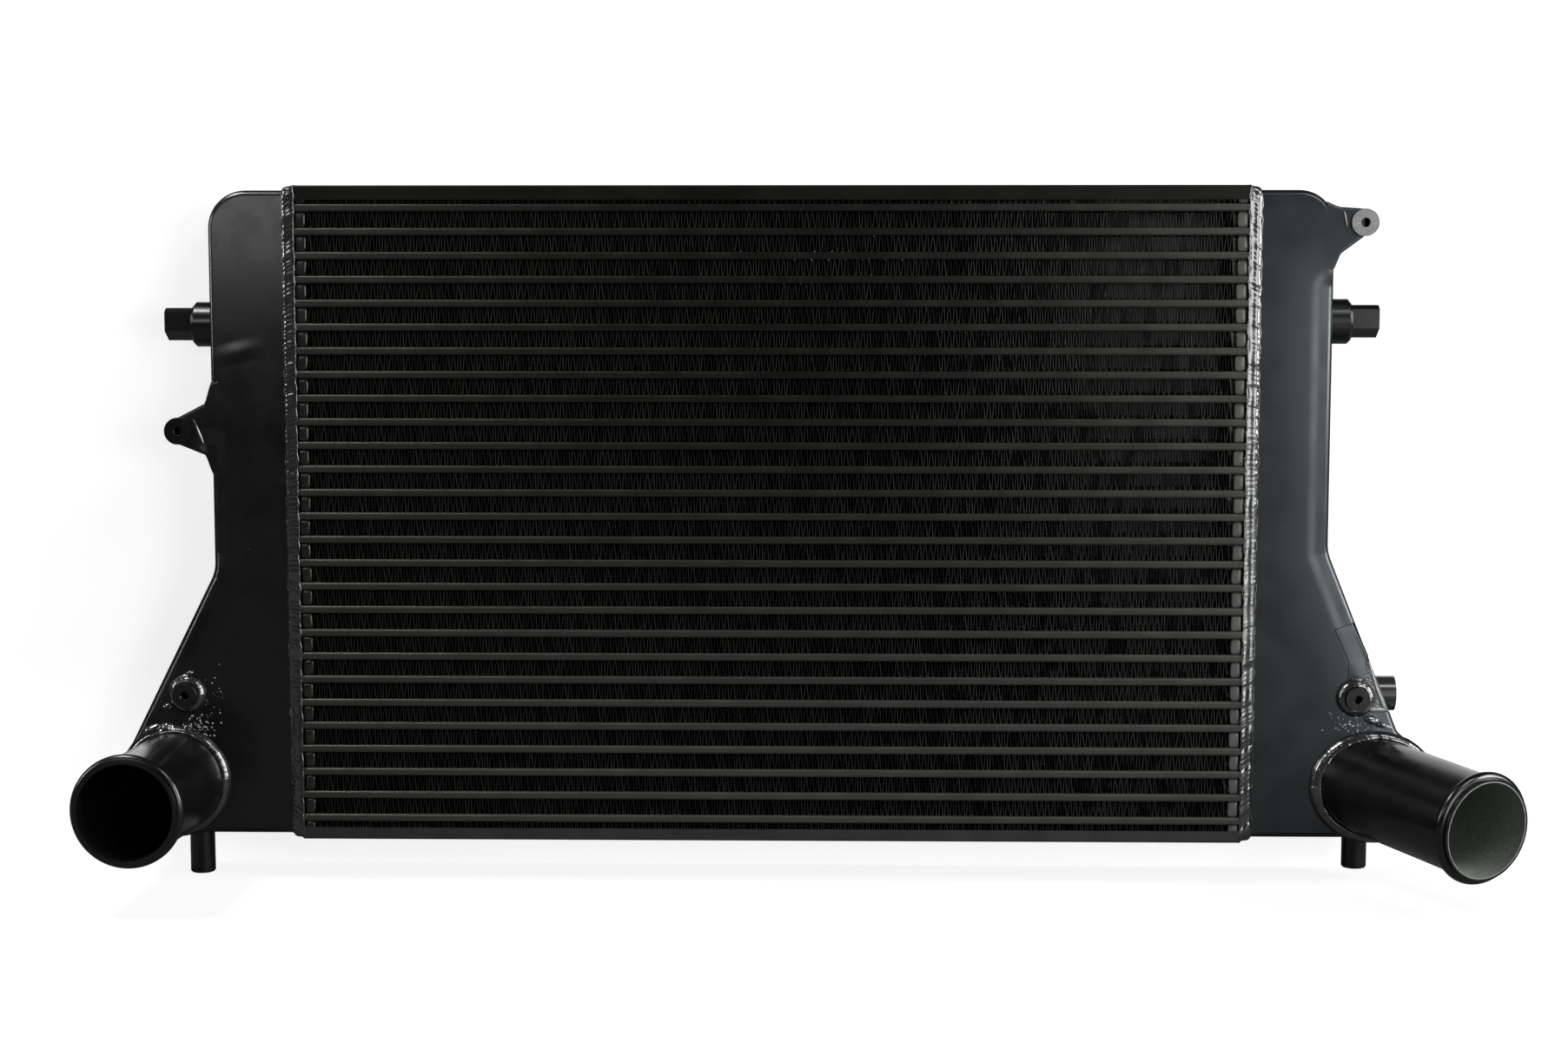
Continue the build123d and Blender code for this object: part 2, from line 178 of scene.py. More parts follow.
def ramp(tree, value, low, high, to_low=0.0, to_high=1.0):
    """Value carried smoothly from the range low..high to to_low..to_high, clamped."""
    inputs = {"Value": value, "From Min": low, "From Max": high, "To Min": to_low, "To Max": to_high}
    made = node(tree, "MapRange", inputs, interpolation_type="SMOOTHSTEP")
    return made.outputs["Result"]


def vector(tree, operation, first, second=(0, 0, 0), scale=1.0):
    """Outputs of one Vector Math node."""
    inputs = {0: first, 1: second, 3: scale}
    return node(tree, "VectorMath", inputs, operation=operation).outputs


def part_of(tree, place, axis):
    """One coordinate, X, Y or Z, of a place."""
    return node(tree, "SeparateXYZ", {0: place}).outputs[axis]


def noise(tree, place, scale, detail=2.0):
    """Smooth random value at a place, about one half."""
    inputs = {"Vector": place, "Scale": scale, "Detail": detail}
    return node(tree, "TexNoise", inputs).outputs["Fac"]


SURROUND = 0.015
WHITE = (1, 1, 1, 1)


def add_world():
    """White behind the object for the camera, an even grey room for everything else."""
    world = bpy.data.worlds.new("studio")
    scene.world = world
    world.use_nodes = True
    tree = world.node_tree
    tree.nodes.clear()
    seen = node(tree, "LightPath").outputs["Is Camera Ray"]
    room = node(tree, "Background", {"Color": WHITE, "Strength": SURROUND})
    paper = node(tree, "Background", {"Color": WHITE, "Strength": 1.0})
    both = node(tree, "MixShader", {0: seen, 1: room.outputs[0], 2: paper.outputs[0]})
    node(tree, "OutputWorld", {"Surface": both.outputs[0]})


GLOW_REACH = 0.12
GLOW_RISE = 0.14


def stage_material(name, pale, glow, front_only):
    """Pale matt surface that keeps shadows, topped up to white where the camera sees it lit.

    With front_only it is there for the camera's rays on its front alone, so that nothing is
    reflected in it and the object can be seen from behind; its glow then rises near the floor.
    """
    material = bpy.data.materials.new(name)
    material.use_nodes = True
    tree = material.node_tree
    tree.nodes.clear()
    seen = node(tree, "LightPath").outputs["Is Camera Ray"]
    matt = node(tree, "BsdfDiffuse", {"Color": (pale, pale, pale, 1)})
    level = part_of(tree, node(tree, "NewGeometry").outputs["Position"], "Z")
    lift = ramp(tree, level, 0.0, GLOW_REACH, glow + GLOW_RISE * front_only, glow)
    light = node(tree, "Emission", {"Color": WHITE, "Strength": lift})
    shown = node(tree, "MixShader", {0: seen, 2: light.outputs[0]})
    surface = node(tree, "AddShader", {0: matt.outputs[0], 1: shown.outputs[0]})
    if front_only:
        behind = node(tree, "NewGeometry").outputs["Backfacing"]
        share = maths(tree, "MULTIPLY", seen, maths(tree, "SUBTRACT", 1.0, behind))
        clear = node(tree, "BsdfTransparent")
        inputs = {0: share, 1: clear.outputs[0], 2: surface.outputs[0]}
        surface = node(tree, "MixShader", inputs)
    node(tree, "OutputMaterial", {"Surface": surface.outputs[0]})
    return material


def add_stage_plane(name, points, material):
    """Flat stage piece through four corner points, facing by their order."""
    mesh = bpy.data.meshes.new(name)
    mesh.from_pydata(points, [], [(0, 1, 2, 3)])
    mesh.materials.append(material)
    plane = bpy.data.objects.new(name, mesh)
    scene.collection.objects.link(plane)


STAGE_REACH = 6.0
WALL_GAP = 0.0015
FLOOR_GAP = 0.0003


def add_stage():
    """Pale floor under the pins, and a pale sheet close behind that takes the soft shadow."""
    wall, floor, reach = cad_high[1] + WALL_GAP, cad_low[2] - FLOOR_GAP, STAGE_REACH
    upright = [(-reach, wall, floor), (reach, wall, floor), (reach, wall, reach), (-reach, wall, reach)]
    flat = [(-reach, -reach, floor), (reach, -reach, floor), (reach, reach, floor), (-reach, reach, floor)]
    paper = stage_material("backdrop_paper", pale=0.5, glow=0.66, front_only=True)
    add_stage_plane("backdrop", upright, paper)
    paper = stage_material("floor_paper", pale=0.14, glow=0.87, front_only=False)
    add_stage_plane("floor", flat, paper)


# ---- finishes


def group(outputs_of, **inputs):
    """Shader node group of a Place and further inputs, named after the function of its outputs."""
    made = bpy.data.node_groups.new(outputs_of.__name__, "ShaderNodeTree")
    for label, default in {"Place": (0, 0, 0), **inputs}.items():
        kind = "NodeSocketVector" if isinstance(default, tuple) else "NodeSocketFloat"
        made.interface.new_socket(label, in_out="INPUT", socket_type=kind).default_value = default
    outputs = outputs_of(made, made.nodes.new("NodeGroupInput").outputs)
    for label in outputs:
        made.interface.new_socket(label, in_out="OUTPUT", socket_type="NodeSocketFloat")
    sink = made.nodes.new("NodeGroupOutput")
    for label, value in outputs.items():
        made.links.new(value, sink.inputs[label])


def use(tree, name, **inputs):
    """Outputs of a shared group placed in a material."""
    return node(tree, "Group", inputs, node_tree=bpy.data.node_groups[name]).outputs


NIB_RIM = (0.02, 0.05)
NIB_HEIGHT = 2.2


def coat_relief(tree, given):
    """Relief of sprayed powder: orange peel, a slow swell under it and sparse raised nibs.

    A nib stands in the middle of a random cell, in the given share of the cells.
    """
    place = given["Place"]
    peel = noise(tree, place, maths(tree, "DIVIDE", 1.0, given["Peel_Size"]))
    swell = noise(tree, place, maths(tree, "DIVIDE", 1.0, given["Swell_Size"]), 1.0)
    nib_scale = maths(tree, "DIVIDE", 1.0, given["Nib_Spacing"])
    cells = node(tree, "TexVoronoi", {"Vector": place, "Scale": nib_scale})
    chance = node(tree, "SeparateColor", {"Color": cells.outputs["Color"]}).outputs["Red"]
    chosen = maths(tree, "LESS_THAN", chance, given["Nib_Share"])
    dot = ramp(tree, cells.outputs["Distance"], *NIB_RIM, NIB_HEIGHT, 0.0)
    height = maths(tree, "MULTIPLY", peel, given["Peel_Depth"])
    height = maths(tree, "MULTIPLY_ADD", swell, given["Swell_Depth"], height)
    return {"Height": maths(tree, "ADD", height, maths(tree, "MULTIPLY", dot, chosen))}


def axis_distance(tree, given):
    """Distance of a place from a line: the length of its offset crossed with the line's axis."""
    offset = vector(tree, "SUBTRACT", given["Place"], given["Origin"])["Vector"]
    side = vector(tree, "CROSS_PRODUCT", offset, given["Axis"])["Vector"]
    return {"Radius": vector(tree, "LENGTH", side)["Value"]}


def along_core(tree, given):
    """Value that changes along the core: m + (l - m) t^2 towards the left end, with t = -x / half,
    and m + (r - m) t^2 towards the right end, with t = x / half."""
    share = maths(tree, "DIVIDE", part_of(tree, given["Place"], "X"), given["Half"])
    total = given["Middle"]
    for label, way in (("Left", -1.0), ("Right", 1.0)):
        reach = maths(tree, "MULTIPLY", share, way, clamp=True)
        rise = maths(tree, "SUBTRACT", given[label], given["Middle"])
        total = maths(tree, "MULTIPLY_ADD", maths(tree, "MULTIPLY", reach, reach), rise, total)
    return {"Value": total}


def falling_top(tree, given):
    """Height that falls away above a level: one less the square of the way up to the top."""
    rise = maths(tree, "SUBTRACT", part_of(tree, given["Place"], "Z"), given["Start"])
    share = maths(tree, "DIVIDE", rise, maths(tree, "SUBTRACT", given["Top"], given["Start"]))
    share = maths(tree, "MAXIMUM", share, 0.0)
    return {"Height": maths(tree, "SUBTRACT", 1.0, maths(tree, "MULTIPLY", share, share))}


def crease(tree, given):
    """Height of a rounded ridge along the line between two points, seen from the front.

    The distance from the line is |p - s - t (e - s)| with t = (p - s).(e - s) / |e - s|^2
    clamped between 0 and 1; the ridge fades with it over the reach. Along gives t.
    """
    flat = vector(tree, "MULTIPLY", given["Place"], (1, 0, 1))["Vector"]
    away = vector(tree, "SUBTRACT", flat, given["Start"])["Vector"]
    line = vector(tree, "SUBTRACT", given["End"], given["Start"])["Vector"]
    reached, whole = (vector(tree, "DOT_PRODUCT", first, line)["Value"] for first in (away, line))
    share = maths(tree, "DIVIDE", reached, whole, clamp=True)
    near = vector(tree, "SCALE", line, scale=share)["Vector"]
    gap = vector(tree, "DISTANCE", away, near)["Value"]
    return {"Height": ramp(tree, gap, 0.0, given["Reach"], 1.0, 0.0), "Along": share}


nibs = {"Nib_Spacing": 0.012, "Nib_Share": 0.3}
group(coat_relief, Peel_Size=0.0012, Peel_Depth=0.3, Swell_Size=0.02, Swell_Depth=0.5, **nibs)
group(axis_distance, Origin=(0, 0, 0), Axis=(0, 1, 0))
group(along_core, Half=0.3, Left=1.0, Middle=1.0, Right=1.0)
group(falling_top, Start=0.0, Top=1.0)
group(crease, Start=(0, 0, 0), End=(0, 0, 1), Reach=0.008)


def new_material(name):
    """Material with an empty tree but for a Principled BSDF, and the place on the piece."""
    material = bpy.data.materials.new(name)
    material.use_nodes = True
    tree = material.node_tree
    tree.nodes.clear()
    shader = node(tree, "BsdfPrincipled")
    node(tree, "OutputMaterial", {"Surface": shader.outputs[0]})
    return material, tree, shader, node(tree, "TexCoord").outputs["Object"]


def blend_colours(tree, share, first, second):
    """Colour socket between two colours by a share."""
    return node(tree, "Mix", {0: share, 6: first, 7: second}, data_type="RGBA").outputs[2]


def show(tree, shader, colour, roughness, height=None, relief=0.0, under=None):
    """Link a finish's colour and roughness, and its height as a bump over another normal."""
    tree.links.new(colour, shader.inputs["Base Color"])
    tree.links.new(roughness, shader.inputs["Roughness"])
    if height:
        bump = node(tree, "Bump", {"Height": height, "Distance": relief})
        if under:
            tree.links.new(under, bump.inputs["Normal"])
        tree.links.new(bump.outputs["Normal"], shader.inputs["Normal"])


def grey(value, tint=0.0):
    """Neutral colour, cooler with a positive tint and warmer with a negative one."""
    return (value * (1 - tint), value, value * (1 + tint), 1)


# how far back the tanks' sheet leans towards its top, and over what height
TOP_FALL = 13.0 * MM
TOP_FALL_HEIGHT = 0.18
CREASE = ((-0.3602, 0, 0.3052), (-0.3224, 0, 0.3146))
CREASE_RISE = 1.1 * MM
# heights of the bend and the upper end of each tank's outer edge, and its lower end; then how far
# in and how deep the edge rolls back
FOLDS = {"left": (0.183, 0.25, (-0.412, 0, 0.062)), "right": (0.184, 0.35, (0.397, 0, 0.069))}
FOLD_STEPS = [(17.0 * MM, 2.9 * MM), (46.0 * MM, 0.8 * MM)]


def folded_sheet(tree, place, side):
    """Normal of a tank's pressed sheet.

    It falls away towards the top, a crease runs over the left tank's side, fading at both ends,
    and the outer edge rolls back by the square of its nearness.
    """
    height = use(tree, "falling_top", Place=place, Start=tank_top - TOP_FALL_HEIGHT, Top=tank_top)["Height"]
    fall = node(tree, "Bump", {"Height": height, "Distance": TOP_FALL})
    found = use(tree, "crease", Place=place, Start=CREASE[0], End=CREASE[1])
    ridge = maths(tree, "MULTIPLY", found["Height"], maths(tree, "PINGPONG", found["Along"], 0.5))
    inputs = {"Height": ridge, "Distance": CREASE_RISE, "Normal": fall.outputs["Normal"]}
    shaped = node(tree, "Bump", inputs)
    bend, top, foot = FOLDS[side]
    bend, top = (tank_sides[side], 0, bend), (tank_sides[side], 0, top)
    for reach, depth in FOLD_STEPS:
        both = (use(tree, "crease", Place=place, Start=bend, End=end, Reach=reach) for end in (top, foot))
        near = maths(tree, "MAXIMUM", *(run["Height"] for run in both))
        drop = maths(tree, "MULTIPLY", maths(tree, "MULTIPLY", near, near), -1.0)
        inputs = {"Height": drop, "Distance": depth, "Normal": shaped.outputs["Normal"]}
        shaped = node(tree, "Bump", inputs)
    return shaped.outputs["Normal"]


COAT_RELIEF = 0.06 * MM
VARNISH_ROUGHNESS = 0.12
PATCH_SCALE, PATCH_DETAIL = 45.0, 4.0
PATCH_RANGE = (0.3, 0.7)
GLOSS_SPREAD = 0.12
# a cool cast for plain coats, a warm one for coats that carry painted light along the core
COOL_CAST, WARM_CAST = 0.03, -0.03
# heights between which the painted light goes over from the core's lower middle to its upper middle
PAINTED_LIGHT_LEVELS = (0.0, 0.3)


def powder_coat(
    name, colour, roughness, peel=0.0012, depth=0.3, swell=0.5, nibs=0.12, relief=COAT_RELIEF,
    folded="", gleam=0.5, varnish=0.0, ends=None,
):
    """Satin black powder coat: orange peel, a slow swell, nibs, and gloss that varies a little.

    A folded coat also carries the shape of that side's tank sheet. Ends scale the coat's colour at
    the core's left end, its upper middle, its right end and its lower middle, as painted light and
    painted shade for where the lamps fall along the core; such a coat takes a warmer cast.
    """
    material, tree, shader, place = new_material(name)
    parts = {"Place": place, "Peel_Size": peel, "Peel_Depth": depth, "Swell_Depth": swell, "Nib_Share": nibs}
    coat = use(tree, "coat_relief", **parts)
    patchy = noise(tree, place, PATCH_SCALE, PATCH_DETAIL)
    gloss = ramp(tree, patchy, *PATCH_RANGE, roughness * (1 - GLOSS_SPREAD), roughness * (1 + GLOSS_SPREAD))
    cast = WARM_CAST if ends else COOL_CAST
    tint = blend_colours(tree, patchy, grey(colour * 0.8, cast), grey(colour * 1.2, cast))
    # painted light and painted shade: the colour scaled up or down by where the lamps fall on the core
    if ends:
        middle = ramp(tree, part_of(tree, place, "Z"), *PAINTED_LIGHT_LEVELS, ends[3], ends[1])
        spread = {"Half": core_half, "Left": ends[0], "Middle": middle, "Right": ends[2]}
        painted_light_level = use(tree, "along_core", Place=place, **spread)["Value"]
        tint = vector(tree, "SCALE", tint, scale=painted_light_level)["Vector"]
    sheet = folded_sheet(tree, place, folded) if folded else None
    show(tree, shader, tint, gloss, coat["Height"], relief, sheet)
    shader.inputs["Specular IOR Level"].default_value = gleam
    shader.inputs["Coat Weight"].default_value = varnish
    shader.inputs["Coat Roughness"].default_value = VARNISH_ROUGHNESS
    return material


# the fins' pale front edges are a painted highlight, scaled along the core and strongest at the right end
FIN_DEEP = grey(0.0015)
FIN_EDGE = grey(0.03, -0.06)
EDGE_HIGHLIGHT_DEPTHS = (0.3 * MM, 0.8 * MM)
EDGE_HIGHLIGHT_ALONG = {"Left": 0.3, "Middle": 0.55, "Right": 3.4}


def fin_finish():
    """Thin coat on the fins: a painted highlight on the front edges, in patches and strongest
    towards the right end, and dark in the depth.
    """
    material, tree, shader, place = new_material("fin_coat")
    front = corners("cooling_fins")[0][1] - 0.3 * MM
    edge_patches = noise(tree, place, 60.0, 3.0)
    reach = ramp(tree, edge_patches, 0.35, 0.65, *EDGE_HIGHLIGHT_DEPTHS)
    beyond = maths(tree, "DIVIDE", maths(tree, "SUBTRACT", part_of(tree, place, "Y"), front), reach)
    edge_highlight = use(tree, "along_core", Place=place, Half=core_half, **EDGE_HIGHLIGHT_ALONG)["Value"]
    edge = maths(tree, "MULTIPLY", ramp(tree, beyond, 0.3, 1.0, 1.0, 0.0), edge_highlight)
    gloss = ramp(tree, edge_patches, *PATCH_RANGE, 0.5, 0.65)
    show(tree, shader, blend_colours(tree, edge, FIN_DEEP, FIN_EDGE), gloss)
    shader.inputs["Specular IOR Level"].default_value = 0.1
    return material


TURNING_WAVES = 14000.0


def bare_face_finish():
    """Coat of the right ear boss, its end face machined bare after coating."""
    material, tree, shader, place = new_material("machined_boss")
    centre, axis = mount_line("ear_thread_right")
    line = use(tree, "axis_distance", Place=place, Origin=tuple(centre), Axis=tuple(axis))
    front = corners("ear_boss_right")[0][1]
    bare = ramp(tree, part_of(tree, place, "Y"), front + 0.1 * MM, front + 0.4 * MM, 1.0, 0.0)
    speckle = noise(tree, place, 900.0, 3.0)
    turned = maths(tree, "SINE", maths(tree, "MULTIPLY", line["Radius"], TURNING_WAVES))
    metal = blend_colours(tree, speckle, grey(0.06), grey(0.3))
    rough = maths(tree, "MULTIPLY_ADD", bare, 0.1, 0.34)
    height = maths(tree, "MULTIPLY", maths(tree, "ADD", turned, speckle), bare)
    show(tree, shader, blend_colours(tree, bare, grey(0.005), metal), rough, height, 0.03 * MM)
    return material


# inside colours of the pipes: painted light, pale with grain, in the right one; painted shade, near black,
# in the left one
INSIDE_LIGHT_AND_SHADE = {
    "left": (grey(0.002), grey(0.006)),
    "right": ((0.05, 0.058, 0.05, 1), (0.24, 0.265, 0.235, 1)),
}
INSIDE_ROUGH = {"left": 0.0, "right": 0.3}


def pipe_finish(side):
    """Glossy coat outside a pipe; inside, a grainy colour: painted light, pale, in the right one,
    which is also matt and rough, and painted shade, near black, in the left one.
    """
    material, tree, shader, place = new_material(f"pipe_coat_{side}")
    centre, axis = mount_line(f"pipe_bore_{side}")
    line = use(tree, "axis_distance", Place=place, Origin=tuple(centre), Axis=tuple(axis))
    bore = mounts[f"pipe_bore_{side}"]["dims"]["r_mm"] * MM
    inside = ramp(tree, line["Radius"], bore + 0.3 * MM, bore + 0.9 * MM, 1.0, 0.0)
    coat = use(tree, "coat_relief", Place=place, Peel_Size=0.0012, Peel_Depth=0.3, Nib_Share=0.05)
    grain = noise(tree, place, 500.0, 4.0)
    patchy = noise(tree, place, PATCH_SCALE, PATCH_DETAIL)
    outer = blend_colours(tree, patchy, grey(0.001, 0.03), grey(0.004, 0.03))
    colour = blend_colours(tree, inside, outer, blend_colours(tree, grain, *INSIDE_LIGHT_AND_SHADE[side]))
    gloss = ramp(tree, patchy, *PATCH_RANGE, 0.2, 0.26)
    rough = maths(tree, "MULTIPLY_ADD", inside, INSIDE_ROUGH[side], gloss)
    grains = maths(tree, "MULTIPLY", maths(tree, "MULTIPLY", grain, inside), 3.0)
    show(tree, shader, colour, rough, maths(tree, "ADD", coat["Height"], grains), COAT_RELIEF)
    return material


# ---- new pieces


def quads(rows, columns, wrap_rows=False, wrap_columns=False):
    """Faces between the points of a grid, stored row by row; a wrapped side closes on itself."""
    row = np.arange(rows if wrap_rows else rows - 1)
    column = np.arange(columns if wrap_columns else columns - 1)
    row, column = np.meshgrid(row, column, indexing="ij")
    below, beside = (row + 1) % rows, (column + 1) % columns
    corners_of = [row * columns + column, row * columns + beside]
    corners_of += [below * columns + beside, below * columns + column]
    return np.stack(corners_of, axis=-1).reshape(-1, 4)


def volume(points, faces):
    """Signed volume inside closed quads: a sum of the tetrahedra from the origin."""
    a, b, c, d = (points[faces[:, corner]] for corner in range(4))
    return np.sum(np.cross(a, b) * c) + np.sum(np.cross(a, c) * d)


def add_piece(name, points, faces, material, replaced=()):
    """Mesh piece from arrays of points and closed quads, turned to face outwards."""
    points = points.reshape(-1, 3)
    if volume(points - points.mean(axis=0), faces) < 0:
        faces = faces[:, ::-1]
    mesh = bpy.data.meshes.new(name)
    mesh.vertices.add(len(points))
    mesh.vertices.foreach_set("co", points.astype(np.float32).ravel())
    mesh.loops.add(faces.size)
    mesh.loops.foreach_set("vertex_index", faces.astype(np.int32).ravel())
    mesh.polygons.add(len(faces))
    mesh.polygons.foreach_set("loop_start", np.arange(0, faces.size, 4, dtype=np.int32))
    mesh.polygons.foreach_set("use_smooth", np.full(len(faces), True))
    mesh.update(calc_edges=True)
    mesh.materials.append(material)
    piece = bpy.data.objects.new(name, mesh)
    scene.collection.objects.link(piece)
    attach(piece, "root")
    if replaced:
        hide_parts(*replaced)


def copies(shape, faces, count):
    """Faces for count copies of one shape whose points follow each other."""
    step = len(shape) * np.arange(count)[:, None, None]
    return (faces[None] + step).reshape(-1, 4)


def wander(along, wavelength, seed, octaves=3):
    """Smooth random curve of about unit height: sines of falling wavelength, random phases."""
    rng = np.random.default_rng(seed)
    total = np.zeros_like(along)
    for octave in range(octaves):
        turn = 2 * np.pi * along / wavelength * 1.9**octave
        total += np.sin(turn + rng.uniform(0, 2 * np.pi)) / 1.5**octave
    return total / 2


def lengths(line):
    """Length along a line up to each of its points."""
    return np.concatenate([[0], np.cumsum(np.linalg.norm(np.diff(line, axis=0), axis=1))])


def evenly(line, count, endpoint=True):
    """Points spread evenly along a flat line given by its points."""
    reach = lengths(line)
    spots = np.linspace(0, reach[-1], count, endpoint=endpoint)
    return np.stack([np.interp(spots, reach, line[:, 0]), np.interp(spots, reach, line[:, 1])], axis=1)


FIN_PITCH = 3.6 * MM
FIN_GAUGE = 0.36 * MM
FIN_LEAN = 0.3 * MM
ARC_STEPS = 4
FIN_CHEVRON = 3.0 * MM
CHEVRON_FADE = 12.0 * MM
FIN_MARGINS = 15.5 * MM
CROWDING = 0.34 * MM
LEANING = 0.42 * MM
UNEVEN_DEPTH = 0.25 * MM
ROWS_PER_PIECE = 7


def fin_line(length, height):
    """Centre line of a folded strip, as x and z about the row's middle.

    Legs stand half a pitch apart and are joined at top and bottom, in turn, by half ellipses.
    Each pair leans together towards its joint, by FIN_LEAN at either side.
    """
    half, radius = FIN_PITCH / 2, FIN_PITCH / 4
    legs = int(length / half)
    straight = height / 2 - radius
    angle = np.pi * (1 - np.arange(ARC_STEPS) / ARC_STEPS)
    arc_x = FIN_LEAN + (half / 2 - FIN_LEAN) * (1 + np.cos(angle))
    arc_z = straight + radius * np.sin(angle)
    x = np.concatenate([[-FIN_LEAN], arc_x])[None] + half * np.arange(legs)[:, None]
    z = np.concatenate([[-straight], arc_z])[None] * np.where(np.arange(legs) % 2, -1, 1)[:, None]
    x, z = x.ravel(), z.ravel()
    return x - (x[0] + x[-1]) / 2, z


def fin_strip(x, z, row, front, back):
    """Points of one folded strip: six corners of its thin section along the centre line.

    The sheet stands half its gauge each side of the line, and steps sideways at mid depth, so
    that its waves run through the core in a chevron, which dies out at the right end. Handling
    has leaned and crowded the legs by slow random amounts, other ones at the front than at the
    back, and leans them up to 1.8 times as far towards the left end.
    """
    along = np.gradient(x), np.gradient(z)
    size = np.hypot(*along) + 1e-12
    off_x, off_z = -along[1] / size * FIN_GAUGE / 2, along[0] / size * FIN_GAUGE / 2
    level = z / (fin_height / 2)
    rough = 1.0 + 0.8 * np.clip(-x / 0.3, 0, 1)
    middle = (front + back) / 2
    fold = FIN_CHEVRON * np.clip((x[-1] - x) / CHEVRON_FADE, 0, 1)
    section = [(1, front), (1, middle), (1, back), (-1, back), (-1, middle), (-1, front)]
    points = np.empty((len(x), 6, 3))
    for corner, (side, depth) in enumerate(section):
        seed = 100 + 2 * row + (depth > middle)
        step = fold if depth == middle else 0.0
        crowd = CROWDING * wander(x, 0.023, seed)
        lean = LEANING * rough * wander(x, 0.011, seed + 500) * level
        points[:, corner, 0] = x + side * off_x + crowd + lean + step
        points[:, corner, 1] = depth + UNEVEN_DEPTH * wander(x, 0.017, seed + 900)
        points[:, corner, 2] = z + side * off_z
    return points


def add_fins(material):
    """All the fin strips, a few rows to a piece."""
    fins_low, fins_high = corners("cooling_fins")
    x, z = fin_line(2 * core_half - FIN_MARGINS, fin_height - FIN_GAUGE)
    last = 6 * (len(x) - 1)
    caps = np.array([[5, 4, 1, 0], [4, 3, 2, 1], [0, 1, 4, 5], [1, 2, 3, 4]])
    caps[2:] += last
    faces = np.concatenate([quads(len(x), 6, wrap_columns=True), caps])
    for first in range(0, fin_rows, ROWS_PER_PIECE):
        strips = []
        for row in range(first, first + ROWS_PER_PIECE):
            strip = fin_strip(x, z, row, fins_low[1], fins_high[1])
            centre = tube_high[2] + fin_height / 2 - row * row_pitch
            strips.append(strip.reshape(-1, 3) + np.array([core_middle, 0, centre]))
        name = f"fins_rows_{first + 1:02d}_to_{first + ROWS_PER_PIECE:02d}"
        points = np.concatenate(strips)
        all_faces = copies(strips[0], faces, ROWS_PER_PIECE)
        add_piece(name, points, all_faces, material, ["cooling_fins"])


BAR_SIDES = 20
BAR_HALF_WIDTH = 3.3 * MM
BAR_SETBACK = 3.9 * MM
BAR_CLEARANCE = 0.05 * MM
# a closing bar's rings from its front middle over its rim to its back middle: their size and
# how far each lies behind the front, or before the back
BAR_RINGS = np.array([0.02, 0.6, 0.86, 0.97, 1.0, 1.0, 0.97, 0.86, 0.6, 0.02])
BAR_DROPS = np.array([0.0, 0.05, 0.25, 0.6, 1.3, -1.3, -0.6, -0.25, -0.05, 0.0]) * MM


def bar_end(square, front, back):
    """Solid closing bar: rings of a superellipse of power `square`, with crowned ends."""
    angle = whole_turn(BAR_SIDES) + np.pi / BAR_SIDES
    reach = (np.abs(np.cos(angle)) ** square + np.abs(np.sin(angle)) ** square) ** (-1 / square)
    x = BAR_RINGS[:, None] * (reach * np.cos(angle) * BAR_HALF_WIDTH)
    y = np.repeat([front, back], len(BAR_RINGS) // 2) + BAR_DROPS
    z = BAR_RINGS[:, None] * (reach * np.sin(angle) * (fin_height / 2 - BAR_CLEARANCE))
    return np.stack(np.broadcast_arrays(x, y[:, None], z), axis=-1)


def add_bar_ends(side, material):
    """The closing bars at one end of the core, each a little out of line with the next."""
    node_name = f"header_bars_{side}"
    low, high = corners(node_name)
    rng = np.random.default_rng(40 + SIDES[side])
    place = SIDES[side] * (core_half - BAR_SETBACK) + core_middle
    bars = []
    for row in range(fin_rows):
        square = rng.uniform(4.5, 9.0)
        front = low[1] + rng.uniform(-0.2, 0.5) * MM
        bar = bar_end(square, front, high[1])
        lean = rng.normal(0, 0.05) * bar[:, :, 2]
        bar[:, :, 0] += place + lean + rng.uniform(-0.4, 0.4) * MM
        bar[:, :, 2] += tube_high[2] + fin_height / 2 - row * row_pitch
        bars.append(bar.reshape(-1, 3))
    points = np.concatenate(bars)
    faces = copies(bars[0], quads(len(BAR_RINGS), BAR_SIDES, wrap_columns=True), fin_rows)
    add_piece(f"bar_ends_{side}", points, faces, material, [node_name])


UNDERSIDE = [-0.9, 0.9]


